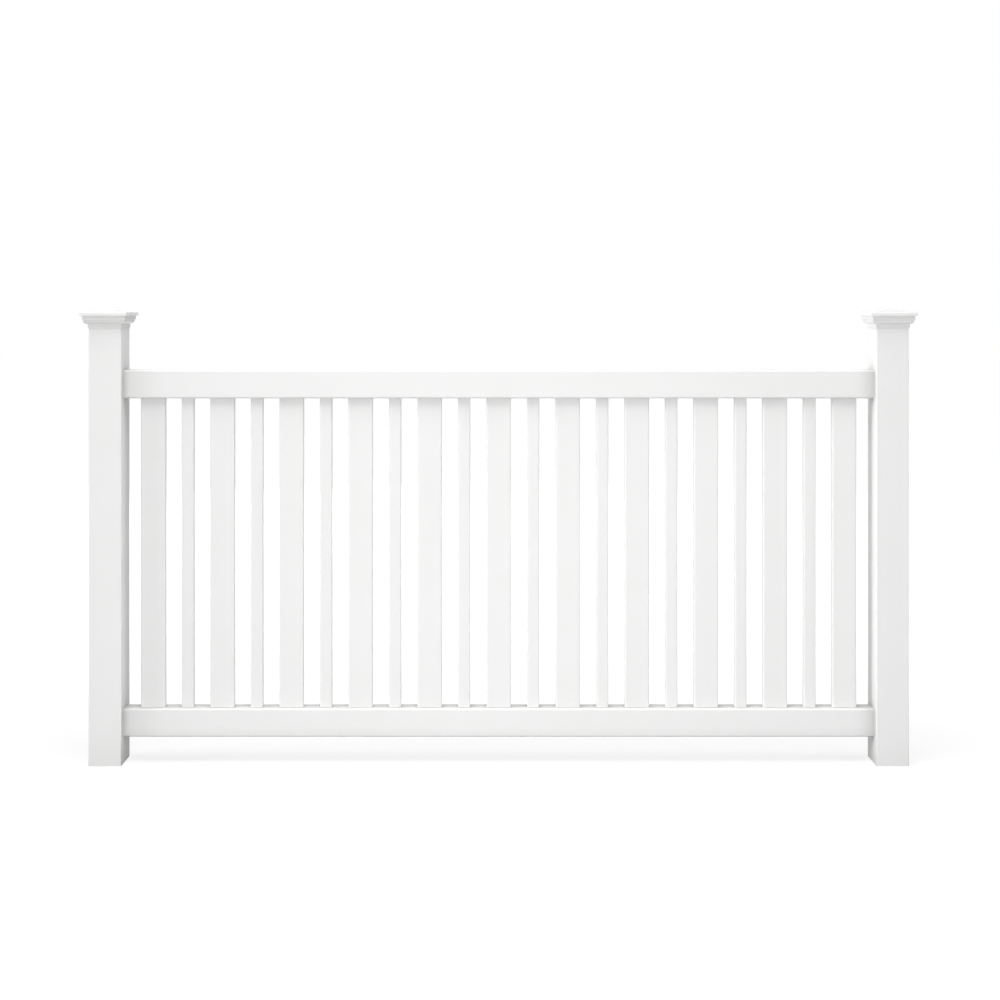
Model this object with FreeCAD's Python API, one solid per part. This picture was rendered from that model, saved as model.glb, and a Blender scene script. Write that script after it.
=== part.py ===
# White hollow-profile picket fence panel standing between two capped posts.
# Lengths are millimetres. +X runs along the fence, +Z is up and the front faces -Y.
# The origin is the centre of the left post's foot.
import FreeCAD, Part
import math
import os

# Layout
post_centres = 2438.4
post_height = 1371.6
panel_height = 1143.0
ground_gap = 82.5

# Posts
post_size = 101.6
post_wall = 3.8
post_corner = 3.5

# Rails
rail_depth = 50.8
rail_height = 88.9
rail_wall = 2.5
rail_corner = 5.5
rail_insert = 38.0

# Pickets, wide and narrow by turns, with a wide one at both ends
picket_count = 21
wide_width = 76.2
narrow_width = 38.1
picket_thickness = 22.2
picket_wall = 1.4
picket_corner = 4.5
picket_reach = 45.0

# Clearances of the pieces that push into each other
mortise_clearance = 0.4
slot_clearance = 0.4
cap_clearance = 0.3

# Lanced tabs that lock a rail behind the post's wall
tab_length = 14.0
tab_width = 20.0
tab_rise = 3.0
tab_slit = 0.5
tab_setback = 1.0

# Drain holes in the underside of the bottom rail
drain_diameter = 9.5
drain_count = 4

# Caps, from the skirt upwards; overhangs are measured from the post's face
cap_wall = 2.2
skirt_wall = 1.3
skirt_drop = 14.6
skirt_height = 12.0
ovolo_height = 12.4
ovolo_overhang = 12.6
ovolo_radius = 10.6
fascia_height = 12.6
fascia_overhang = 15.3
lip_height = 11.0
lip_overhang = 21.5
lip_radius = 2.5
edge_radius = 1.0
peak_rise = 10.3
rib_thickness = 1.8
rib_spacing = 62.0

# How far a cutting tool runs past the wall that it cuts
overcut = 2.0

# Places that follow from the sizes
half_post = post_size / 2
clear_width = post_centres - post_size
bottom_rail_base = ground_gap
top_rail_base = ground_gap + panel_height - rail_height
skirt_base = post_height - skirt_drop
ovolo_base = skirt_base + skirt_height
fascia_base = ovolo_base + ovolo_height
lip_base = fascia_base + fascia_height
lip_top = lip_base + lip_height
vertical = FreeCAD.Vector(0, 0, 1)


def point(corner):
    return FreeCAD.Vector(corner[0], corner[1], 0)


def rounded_corner(before, here, after, radius):
    """Start, middle and end of the arc that rounds one corner of an outline."""
    back = (before - here).normalize()
    ahead = (after - here).normalize()
    half_angle = back.getAngle(ahead) / 2
    setback = radius / math.tan(half_angle)
    inward = (back + ahead).normalize()
    depth = radius / math.sin(half_angle) - radius
    return here + back * setback, here + inward * depth, here + ahead * setback


def outline(corners):
    """Closed wire in the XY plane through corners given as x, y and rounding radius."""
    arcs = []
    for index, corner in enumerate(corners):
        here = point(corner)
        if corner[2] == 0:
            arcs.append((here, here, here))
            continue
        before = point(corners[index - 1])
        after = point(corners[(index + 1) % len(corners)])
        arcs.append(rounded_corner(before, here, after, corner[2]))
    edges = []
    for index, (start, middle, end) in enumerate(arcs):
        if start.distanceToPoint(end) > 0:
            edges.append(Part.Arc(start, middle, end).toShape())
        following = arcs[(index + 1) % len(arcs)][0]
        edges.append(Part.LineSegment(end, following).toShape())
    return Part.Wire(edges)


def upright_prism(corners, base, length):
    """Solid along Z whose section has these corners."""
    prism = Part.Face(outline(corners)).extrude(FreeCAD.Vector(0, 0, length))
    prism.translate(FreeCAD.Vector(0, 0, base))
    return prism


def rounded_bar(width, depth, corner, base, length):
    """Bar along Z, centred on the Z axis, whose corners are rounded to this radius."""
    x = width / 2
    y = depth / 2
    section = [(-x, -y, corner), (x, -y, corner), (x, y, corner), (-x, y, corner)]
    return upright_prism(section, base, length)


def flat_cornered_bar(width, depth, corner, base, length):
    """Plainer bar, with a flat across each corner that touches the arc of this radius."""
    x = width / 2
    y = depth / 2
    setback = corner * (2 - math.sqrt(2))
    section = [
        (-x, -y + setback, 0),
        (-x + setback, -y, 0),
        (x - setback, -y, 0),
        (x, -y + setback, 0),
        (x, y - setback, 0),
        (x - setback, y, 0),
        (-x + setback, y, 0),
        (-x, y - setback, 0),
    ]
    return upright_prism(section, base, length)


def upright_tube(width, depth, corner, wall, base, length, bore_shape=rounded_bar):
    """Hollow extrusion along Z, open at both ends."""
    outside = rounded_bar(width, depth, corner, base, length)
    bore_corner = max(corner - wall, wall / 2)
    bore = bore_shape(
        width - 2 * wall, depth - 2 * wall, bore_corner, base - overcut, length + 2 * overcut
    )
    return outside.cut(bore)


def laid_along_x(shape):
    """Turn an upright shape so that its length runs along +X and its width is vertical."""
    laid = shape.copy()
    laid.rotate(FreeCAD.Vector(0, 0, 0), FreeCAD.Vector(0, 1, 0), 90)
    return laid


def picket_layout():
    """Centre and width of each picket, spaced by equal gaps between the posts."""
    widths = []
    for index in range(picket_count):
        widths.append(wide_width if index % 2 == 0 else narrow_width)
    gap = (clear_width - sum(widths)) / (picket_count + 1)
    edge = half_post
    layout = []
    for width in widths:
        edge += gap
        layout.append((edge + width / 2, width))
        edge += width
    return layout


def make_picket(centre, width):
    """Hollow picket that stands on the bottom rail's floor and ends inside the top rail."""
    base = bottom_rail_base + rail_wall
    length = top_rail_base + picket_reach - base
    picket = upright_tube(
        width, picket_thickness, picket_corner, picket_wall, base, length, flat_cornered_bar
    )
    picket.translate(FreeCAD.Vector(centre, 0, 0))
    return picket


def picket_slots(wall_base):
    """Routed slots, one for each picket, through a rail wall that starts at this height."""
    slots = []
    for centre, width in picket_layout():
        slot = flat_cornered_bar(
            width + 2 * slot_clearance,
            picket_thickness + 2 * slot_clearance,
            picket_corner + slot_clearance,
            wall_base - overcut,
            rail_wall + 2 * overcut,
        )
        slot.translate(FreeCAD.Vector(centre, 0, 0))
        slots.append(slot)
    return slots


def tab_window_and_tongue(hinge_x, direction, side, height):
    """Window cut in a rail's side wall, and the sloping tongue that hinges at its far end."""
    face_y = side * rail_depth / 2
    inner_y = face_y - side * rail_wall
    free_x = hinge_x - direction * tab_length
    window_height = tab_width + 2 * tab_slit
    window = Part.makeBox(
        tab_length,
        rail_wall + 2 * overcut,
        window_height,
        FreeCAD.Vector(
            min(hinge_x, free_x),
            min(face_y, inner_y) - overcut,
            height - window_height / 2,
        ),
    )
    lift = side * tab_rise
    section = outline([
        (hinge_x, face_y, 0),
        (free_x, face_y + lift, 0),
        (free_x, inner_y + lift, 0),
        (hinge_x, inner_y, 0),
    ])
    tongue = Part.Face(section).extrude(FreeCAD.Vector(0, 0, tab_width))
    tongue.translate(FreeCAD.Vector(0, 0, height - tab_width / 2))
    return window, tongue


def add_locking_tabs(rail, base):
    """A tab on the front and back of each rail end, just behind the post's wall."""
    wall_back = half_post - post_wall - tab_setback
    height = base + rail_height / 2
    ends = (
        (wall_back - tab_length, -1),
        (post_centres - wall_back + tab_length, 1),
    )
    windows = []
    tongues = []
    for hinge_x, direction in ends:
        for side in (-1, 1):
            window, tongue = tab_window_and_tongue(hinge_x, direction, side, height)
            windows.append(window)
            tongues.append(tongue)
    return rail.cut(windows).fuse(tongues)


def make_rail(base, slot_wall_base):
    """Hollow rail through both posts' mortises, routed for the pickets on one wall."""
    start = half_post - rail_insert
    length = clear_width + 2 * rail_insert
    rail = laid_along_x(
        upright_tube(rail_height, rail_depth, rail_corner, rail_wall, start, length)
    )
    rail.translate(FreeCAD.Vector(0, 0, base + rail_height / 2))
    rail = rail.cut(picket_slots(slot_wall_base))
    return add_locking_tabs(rail, base)


def make_top_rail():
    return make_rail(top_rail_base, top_rail_base)


def make_bottom_rail():
    rail = make_rail(bottom_rail_base, bottom_rail_base + rail_height - rail_wall)
    gap = clear_width / drain_count
    drains = []
    for index in range(drain_count):
        centre = FreeCAD.Vector(
            half_post + gap * (index + 0.5), 0, bottom_rail_base - overcut
        )
        drains.append(Part.makeCylinder(drain_diameter / 2, rail_wall + 2 * overcut, centre))
    return rail.cut(drains)


def mortise(base):
    """Cutter for the mortise in the left post, whose lower edge carries the rail."""
    height = rail_height + mortise_clearance
    cutter = laid_along_x(
        rounded_bar(
            height,
            rail_depth + 2 * mortise_clearance,
            rail_corner + mortise_clearance,
            half_post - post_wall - overcut,
            post_wall + 2 * overcut,
        )
    )
    cutter.translate(FreeCAD.Vector(0, 0, base + height / 2))
    return cutter


def make_left_post():
    tube = upright_tube(post_size, post_size, post_corner, post_wall, 0, post_height)
    return tube.cut([mortise(bottom_rail_base), mortise(top_rail_base)])


def make_right_post():
    middle = FreeCAD.Vector(post_centres / 2, 0, 0)
    return make_left_post().mirror(middle, FreeCAD.Vector(1, 0, 0))


def mitred_solid(right_side):
    """Square solid whose four sides all have the same moulded profile, mitred at the corners."""
    left_side = [(-x, z, radius) for x, z, radius in reversed(right_side) if x > 0]
    reach = max(x for x, z, radius in right_side) + overcut
    face = Part.Face(outline(right_side + left_side))
    moulding = face.extrude(FreeCAD.Vector(0, 0, 2 * reach))
    moulding.translate(FreeCAD.Vector(0, 0, -reach))
    moulding.rotate(FreeCAD.Vector(0, 0, 0), FreeCAD.Vector(1, 0, 0), 90)
    across = moulding.copy()
    across.rotate(FreeCAD.Vector(0, 0, 0), vertical, 90)
    return moulding.common(across)


def cap_outside():
    """Skirt, ovolo, fascia, overhanging lip and low pyramid of a post cap."""
    skirt_half = half_post + cap_clearance + skirt_wall
    ovolo_half = half_post + ovolo_overhang
    fascia_half = half_post + fascia_overhang
    lip_half = half_post + lip_overhang
    return mitred_solid([
        (skirt_half, skirt_base, 0),
        (skirt_half, ovolo_base, 0),
        (ovolo_half, ovolo_base, ovolo_radius),
        (ovolo_half, fascia_base, 0),
        (fascia_half, fascia_base, edge_radius),
        (fascia_half, lip_base, 0),
        (lip_half, lip_base, edge_radius),
        (lip_half, lip_top, lip_radius),
        (0, lip_top + peak_rise, 0),
    ])


def cap_hollow():
    """Inside of a cap: a socket for the post, then one wall's thickness behind the mouldings."""
    socket_half = half_post + cap_clearance
    ovolo_half = half_post + ovolo_overhang - cap_wall
    fascia_half = half_post + fascia_overhang - cap_wall
    lip_half = half_post + lip_overhang - cap_wall
    roof_slope = peak_rise / (half_post + lip_overhang)
    return mitred_solid([
        (socket_half, skirt_base - overcut, 0),
        (socket_half, ovolo_base + cap_wall, 0),
        (ovolo_half, ovolo_base + cap_wall, ovolo_radius - cap_wall),
        (ovolo_half, fascia_base + cap_wall, 0),
        (fascia_half, fascia_base + cap_wall, 0),
        (fascia_half, lip_base + cap_wall, 0),
        (lip_half, lip_base + cap_wall, 0),
        (lip_half, lip_top - cap_wall + roof_slope * cap_wall, 0),
        (0, lip_top + peak_rise - cap_wall, 0),
    ])


def cap_ribs():
    """Crossed ribs under the pyramid, whose lower edges rest on the post's end."""
    reach = half_post + lip_overhang
    height = lip_top + peak_rise - post_height
    ribs = []
    for side in (-1, 1):
        centre = side * rib_spacing / 2
        near = centre - rib_thickness / 2
        along_y = FreeCAD.Vector(near, -reach, post_height)
        along_x = FreeCAD.Vector(-reach, near, post_height)
        ribs.append(Part.makeBox(rib_thickness, 2 * reach, height, along_y))
        ribs.append(Part.makeBox(2 * reach, rib_thickness, height, along_x))
    return ribs


def make_cap(post_x):
    cap = cap_outside().cut(cap_hollow().cut(cap_ribs()))
    cap.translate(FreeCAD.Vector(post_x, 0, 0))
    return cap


def save(node, shape):
    clean = shape.removeSplitter()
    clean.exportStep(os.path.join("parts", node + ".step"))


def main():
    os.makedirs("parts", exist_ok=True)
    save("left_post", make_left_post())
    save("right_post", make_right_post())
    save("left_post_cap", make_cap(0))
    save("right_post_cap", make_cap(post_centres))
    save("top_rail", make_top_rail())
    save("bottom_rail", make_bottom_rail())
    for index, (centre, width) in enumerate(picket_layout()):
        kind = "wide" if index % 2 == 0 else "narrow"
        number = index // 2 + 1
        save("%s_picket_%02d" % (kind, number), make_picket(centre, width))


main()
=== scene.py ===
import math

import bpy
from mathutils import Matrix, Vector


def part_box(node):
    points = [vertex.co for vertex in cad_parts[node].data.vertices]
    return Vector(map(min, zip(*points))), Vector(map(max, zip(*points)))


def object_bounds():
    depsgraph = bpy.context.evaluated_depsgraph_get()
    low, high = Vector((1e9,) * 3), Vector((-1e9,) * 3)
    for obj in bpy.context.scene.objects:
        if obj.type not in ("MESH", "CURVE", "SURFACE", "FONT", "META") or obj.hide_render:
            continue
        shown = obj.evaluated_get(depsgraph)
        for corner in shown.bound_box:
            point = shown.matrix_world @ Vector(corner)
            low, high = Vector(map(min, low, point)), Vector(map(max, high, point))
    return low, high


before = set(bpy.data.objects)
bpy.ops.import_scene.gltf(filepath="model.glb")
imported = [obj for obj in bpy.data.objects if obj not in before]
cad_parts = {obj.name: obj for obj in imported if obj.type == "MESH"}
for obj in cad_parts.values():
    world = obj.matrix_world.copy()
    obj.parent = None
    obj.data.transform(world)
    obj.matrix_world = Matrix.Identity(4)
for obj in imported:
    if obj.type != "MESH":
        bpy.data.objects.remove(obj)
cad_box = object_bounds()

# White vinyl picket fence panel: finishes, floor, light and camera.
# Lengths are metres in the row frame: +X along the fence, the front faces -Y.

# Camera: the photograph's frame in pixels, distances in metres, lens and sensor in millimetres
PHOTO_SIZE = 1000
PHOTO_CENTRE_X = 498.7
PHOTO_HORIZON_Y = 300.0
CAMERA_DISTANCE = 4.297
CAMERA_HEIGHT = 1.443
LENS = 50.0
SENSOR = 36.0

# Colours, linear
VINYL_WHITE = (0.865, 0.865, 0.862, 1.0)
VINYL_SHADE = (0.835, 0.836, 0.828, 1.0)
# Tone of dust, and also of the shade painted into corners
DUST_AND_SHADE = (0.46, 0.46, 0.45, 1.0)
PURE_WHITE = (1.0, 1.0, 1.0, 1.0)

# Vinyl: scales are cycles of noise a metre along x, y and z, depths are metres, and a range is
# the part of the noise's values, from 0 to 1, over which its effect grows
VINYL_IOR = 1.53
ROUGHNESS = (0.38, 0.46)
STREAK_RANGE = (0.3, 0.7)
TONE_SCALE = (2.1, 9.0, 3.3)
TONE_RANGE = (0.35, 0.75)
TONE_CHANGE = 0.6
WAVE_SCALE = (5.0, 5.0, 5.0)
WAVE_DEPTH = 0.0003
GRAIN_SCALE = (900.0, 900.0, 900.0)
UPRIGHT_LINES = (420.0, 420.0, 2.5)
LEVEL_LINES = (2.5, 420.0, 420.0)
MOULD_MARKS = (60.0, 60.0, 60.0)
EXTRUDED = {"streak_depth": 0.000012, "grain_depth": 0.000004}
MOULDED = {"streak_depth": 0.00002, "grain_depth": 0.000008}

# Dust, and shade painted into corners by ambient occlusion: how much of the surface each covers,
# from 0 to 1, and where it lies, in metres
BLOTCH_SCALE = (14.0, 14.0, 14.0)
BLOTCH_RANGE = (0.35, 0.65)
ROUGH_BLOTCH_RANGE = (0.4, 0.7)
BLOTCH_ROUGHNESS = 0.05
THINNEST_DUST = 0.5
CORNER_REACH = 0.12
CORNER_SAMPLES = 8
DEEPEST_CORNER = 0.35
LEDGE_TILT = 0.8
LEDGE_DUST = 0.2
SPLASH_HEIGHT = 0.15
SPLASH_DUST = 0.06

# Floor, as other surfaces are lit by it and as the camera sees it. Its own glow rises from
# near the fence to pure white further off, so that only the fence's shadow shows on it.
FLOOR_BOUNCE = 0.3
FLOOR_TONE = 0.25
GLOW_NEAR = 0.78
GLOW_FAR = 1.0
SHADOW_REACH = (0.4, 1.6)
FLOOR_SIZE = 60.0

# Light: a key far off to the left that rakes along the fence, a soft lamp overhead and weaker
# ones on both sides in front. The fills only spread light and aren't mirrored in the vinyl: one
# low in front, one behind for the back, and one in line with the fence for its right end.
# Places, aims and sizes are metres and powers are watts.
LAMPS = {
    "left_key": {
        "place": (-15.2, -3.0, 5.2),
        "aim": (1.2, 0.0, 0.8),
        "size": (6.0, 6.0),
        "power": 1500.0,
    },
    "overhead": {
        "place": (1.0, -1.3, 5.0),
        "aim": (1.0, -1.1, 0.0),
        "size": (3.6, 2.6),
        "power": 188.0,
    },
    "left_soft": {
        "place": (-3.0, -5.0, 1.5),
        "aim": (1.2, 0.0, 0.8),
        "size": (2.0, 2.0),
        "power": 36.0,
    },
    "right_soft": {
        "place": (8.0, -4.0, 3.0),
        "aim": (1.2, 0.0, 0.8),
        "size": (3.0, 3.0),
        "power": 140.0,
    },
}
FILLS = {
    "low_fill": {
        "place": (1.2, -3.2, 0.25),
        "aim": (1.2, 0.0, 0.4),
        "size": (2.0, 0.4),
        "power": 48.0,
    },
    "back_fill": {
        "place": (0.0, 6.0, 2.4),
        "aim": (1.2, 0.0, 0.8),
        "size": (2.5, 3.0),
        "power": 230.0,
    },
    "end_fill": {
        "place": (3.9, 0.0, 0.9),
        "aim": (2.49, 0.0, 0.7),
        "size": (0.25, 1.6),
        "power": 9.0,
    },
}


def node(tree, kind, inputs=None, **settings):
    """A shader node with its settings and inputs; an input may be a value or another socket."""
    made = tree.nodes.new(kind)
    for name, value in settings.items():
        setattr(made, name, value)
    for name, value in (inputs or {}).items():
        if isinstance(value, bpy.types.NodeSocket):
            tree.links.new(value, made.inputs[name])
        else:
            made.inputs[name].default_value = value
    return made


def new_tree(name):
    """A material with an empty node tree and its output node."""
    material = bpy.data.materials.new(name)
    material.use_nodes = True
    tree = material.node_tree
    tree.nodes.clear()
    return material, tree, tree.nodes.new("ShaderNodeOutputMaterial")


def stretched_noise(tree, position, scale, detail, roughness=0.5):
    """Noise whose three scales, in cycles a metre, may differ, so that it runs in streaks."""
    mapping = node(tree, "ShaderNodeMapping", {"Vector": position, "Scale": scale})
    noise = node(
        tree,
        "ShaderNodeTexNoise",
        {
            "Vector": mapping.outputs["Vector"],
            "Scale": 1.0,
            "Detail": detail,
            "Roughness": roughness,
        },
    )
    return noise.outputs["Fac"]


def remap(tree, value, low, high, to_low, to_high):
    """A value's range from low to high spread over another range."""
    mapped = node(
        tree,
        "ShaderNodeMapRange",
        {"Value": value, "From Min": low, "From Max": high, "To Min": to_low, "To Max": to_high},
    )
    return mapped.outputs["Result"]


def bump(tree, height, distance, under=None):
    """A bump that rises up to distance, in metres, on top of another bump."""
    inputs = {"Height": height, "Distance": distance, "Strength": 1.0}
    if under is not None:
        inputs["Normal"] = under
    return node(tree, "ShaderNodeBump", inputs).outputs["Normal"]


def math_node(tree, operation, first, second=0.0):
    """One arithmetic step on values or sockets."""
    made = node(tree, "ShaderNodeMath", {0: first, 1: second}, operation=operation)
    return made.outputs[0]


def mixed(tree, factor, first, second):
    """A colour part of the way from the first to the second."""
    made = node(tree, "ShaderNodeMix", {0: factor, 6: first, 7: second}, data_type="RGBA")
    return made.outputs[2]


def dust_and_corner_shade(tree, position, blotches, shade_in_corners, shade_on_sides):
    """How much a point is darkened: painted shade in corners, from ambient occlusion, and dust on
    ledges and by the ground, in blotches.

    The painted corner shade goes up to shade_in_corners, or up to shade_on_sides where the face
    looks along the fence.
    """
    # Ambient occlusion here paints shade into the colour where parts meet and in corners
    corner_occlusion = node(
        tree,
        "ShaderNodeAmbientOcclusion",
        {"Distance": CORNER_REACH},
        samples=CORNER_SAMPLES,
    )
    normal = node(tree, "ShaderNodeNewGeometry").outputs["Normal"]
    facing = node(tree, "ShaderNodeSeparateXYZ", {0: normal}).outputs
    sideways = math_node(tree, "ABSOLUTE", facing["X"])
    most = remap(tree, sideways, 0.0, 1.0, shade_in_corners, shade_on_sides)
    # Painted shade: the more a point is occluded, the darker it is painted
    painted_corner_shade = remap(tree, corner_occlusion.outputs["AO"], DEEPEST_CORNER, 1.0, most, 0.0)
    ledges = remap(tree, facing["Z"], LEDGE_TILT, 1.0, 0.0, LEDGE_DUST)
    height = node(tree, "ShaderNodeSeparateXYZ", {0: position}).outputs["Z"]
    feet = remap(tree, height, 0.0, SPLASH_HEIGHT, SPLASH_DUST, 0.0)
    loose = math_node(tree, "ADD", ledges, feet)
    patches = remap(tree, blotches, *BLOTCH_RANGE, THINNEST_DUST, 1.0)
    return math_node(tree, "ADD", painted_corner_shade, math_node(tree, "MULTIPLY", loose, patches))


def vinyl(name, streak_scale, streak_depth, grain_depth, shade_in_corners, shade_on_sides):
    """Rigid white vinyl: streaks, such as an extrusion's die lines, waves, fine grain, dust, and
    painted shade in corners.
    """
    material, tree, output = new_tree(name)
    position = node(tree, "ShaderNodeTexCoord").outputs["Object"]
    tone = stretched_noise(tree, position, TONE_SCALE, detail=4.0)
    streaks = stretched_noise(tree, position, streak_scale, detail=2.0)
    waves = stretched_noise(tree, position, WAVE_SCALE, detail=1.0)
    grain = stretched_noise(tree, position, GRAIN_SCALE, detail=2.0)
    blotches = stretched_noise(tree, position, BLOTCH_SCALE, detail=5.0, roughness=0.6)
    shade = remap(tree, tone, *TONE_RANGE, 0.0, TONE_CHANGE)
    clean = mixed(tree, shade, VINYL_WHITE, VINYL_SHADE)
    dust_and_shade = dust_and_corner_shade(tree, position, blotches, shade_in_corners, shade_on_sides)
    # The dust tone also serves as the painted shade in corners
    colour = mixed(tree, dust_and_shade, clean, DUST_AND_SHADE)
    rough = math_node(
        tree,
        "ADD",
        remap(tree, streaks, *STREAK_RANGE, *ROUGHNESS),
        remap(tree, blotches, *ROUGH_BLOTCH_RANGE, 0.0, BLOTCH_ROUGHNESS),
    )
    normal = bump(tree, waves, WAVE_DEPTH)
    normal = bump(tree, streaks, streak_depth, normal)
    normal = bump(tree, grain, grain_depth, normal)
    shader = node(
        tree,
        "ShaderNodeBsdfPrincipled",
        {"Base Color": colour, "Roughness": rough, "Normal": normal, "IOR": VINYL_IOR},
    )
    tree.links.new(shader.outputs["BSDF"], output.inputs["Surface"])
    return material


def dress(ending, material):
    """Give this material to all CAD nodes whose names, without a number, end so."""
    for name in sorted(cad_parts):
        if name.rstrip("_0123456789").endswith(ending):
            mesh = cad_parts[name].data
            mesh.materials.clear()
            mesh.materials.append(material)


def seen_directly(tree):
    """One for camera, glossy and transmission rays, which see the backdrop, or else zero."""
    path = node(tree, "ShaderNodeLightPath")
    seen = math_node(tree, "MAXIMUM", path.outputs["Is Camera Ray"], path.outputs["Is Glossy Ray"])
    return math_node(tree, "MAXIMUM", seen, path.outputs["Is Transmission Ray"])


def fence_middle():
    """The middle of the fence along x."""
    low, high = cad_box
    return (low.x + high.x) / 2


def distance_from_fence(tree):
    """How far a point of the floor is from the fence's footprint, taken as a line."""
    low, high = cad_box
    place = node(tree, "ShaderNodeNewGeometry").outputs["Position"]
    parts = node(tree, "ShaderNodeSeparateXYZ", {0: place})
    from_middle = math_node(tree, "SUBTRACT", parts.outputs["X"], fence_middle())
    from_middle = math_node(tree, "ABSOLUTE", from_middle)
    past_end = math_node(tree, "SUBTRACT", from_middle, (high.x - low.x) / 2)
    along = math_node(tree, "MAXIMUM", past_end, 0.0)
    offset = node(tree, "ShaderNodeCombineXYZ", {"X": along, "Y": parts.outputs["Y"]})
    length = node(tree, "ShaderNodeVectorMath", {0: offset.outputs[0]}, operation="LENGTH")
    return length.outputs["Value"]


def grey(level):
    """An opaque grey of this linear level."""
    return (level, level, level, 1.0)


def make_floor():
    """Pale floor that looks white to the camera and keeps the object's shadow."""
    material, tree, output = new_tree("studio_floor")
    plain = node(tree, "ShaderNodeBsdfDiffuse", {"Color": grey(FLOOR_BOUNCE)})
    catcher = node(tree, "ShaderNodeBsdfDiffuse", {"Color": grey(FLOOR_TONE)})
    brightness = remap(tree, distance_from_fence(tree), *SHADOW_REACH, GLOW_NEAR, GLOW_FAR)
    glow = node(tree, "ShaderNodeEmission", {"Color": PURE_WHITE, "Strength": brightness})
    white = node(tree, "ShaderNodeAddShader", {0: catcher.outputs[0], 1: glow.outputs[0]})
    mix = node(
        tree,
        "ShaderNodeMixShader",
        {0: seen_directly(tree), 1: plain.outputs[0], 2: white.outputs[0]},
    )
    tree.links.new(mix.outputs[0], output.inputs["Surface"])
    bpy.ops.mesh.primitive_plane_add(size=FLOOR_SIZE, location=(fence_middle(), 0.0, 0.0))
    floor = bpy.context.object
    floor.name = "studio_floor"
    floor.data.materials.append(material)


def make_world():
    """Plain white behind the object. It lights nothing: the mix's open first input is black."""
    world = bpy.data.worlds.new("studio_world")
    bpy.context.scene.world = world
    world.use_nodes = True
    tree = world.node_tree
    tree.nodes.clear()
    white = node(tree, "ShaderNodeBackground", {"Color": PURE_WHITE, "Strength": 1.0})
    mix = node(tree, "ShaderNodeMixShader", {0: seen_directly(tree), 2: white.outputs[0]})
    output = tree.nodes.new("ShaderNodeOutputWorld")
    tree.links.new(mix.outputs[0], output.inputs["Surface"])


def make_lamp(name, place, aim, size, power, mirrored):
    """Rectangular softbox that faces its aim, and may be mirrored in glossy surfaces."""
    data = bpy.data.lights.new(name, "AREA")
    data.shape = "RECTANGLE"
    data.size, data.size_y = size
    data.energy = power
    lamp = bpy.data.objects.new(name, data)
    lamp.location = place
    lamp.rotation_euler = (Vector(aim) - Vector(place)).to_track_quat("-Z", "Y").to_euler()
    lamp.visible_glossy = mirrored
    bpy.context.scene.collection.objects.link(lamp)


def make_camera():
    """Level camera before the panel's middle, shifted so that the horizon is the photograph's."""
    post_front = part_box("left_post")[0].y
    data = bpy.data.cameras.new("photo_camera")
    data.lens = LENS
    data.sensor_width = SENSOR
    data.shift_x = 0.5 - PHOTO_CENTRE_X / PHOTO_SIZE
    data.shift_y = PHOTO_HORIZON_Y / PHOTO_SIZE - 0.5
    camera = bpy.data.objects.new("photo_camera", data)
    camera.location = (fence_middle(), post_front - CAMERA_DISTANCE, CAMERA_HEIGHT)
    camera.rotation_euler = (math.radians(90.0), 0.0, 0.0)
    bpy.context.scene.collection.objects.link(camera)
    bpy.context.scene.camera = camera


# The corner and side figures set how much painted shade, from ambient occlusion, darkens each
# part's corners
dress("_post", vinyl("post_vinyl", UPRIGHT_LINES, **EXTRUDED, shade_in_corners=0.12, shade_on_sides=1.0))
dress("_rail", vinyl("rail_vinyl", LEVEL_LINES, **EXTRUDED, shade_in_corners=1.0, shade_on_sides=1.0))
dress("_picket", vinyl("picket_vinyl", UPRIGHT_LINES, **EXTRUDED, shade_in_corners=0.13, shade_on_sides=0.13))
dress("_cap", vinyl("moulded_vinyl", MOULD_MARKS, **MOULDED, shade_in_corners=0.1, shade_on_sides=0.1))
make_floor()
make_world()
for lamp_name, lamp in LAMPS.items():
    make_lamp(lamp_name, mirrored=True, **lamp)
for lamp_name, lamp in FILLS.items():
    make_lamp(lamp_name, mirrored=False, **lamp)
make_camera()
bpy.context.scene.view_settings.view_transform = "Standard"
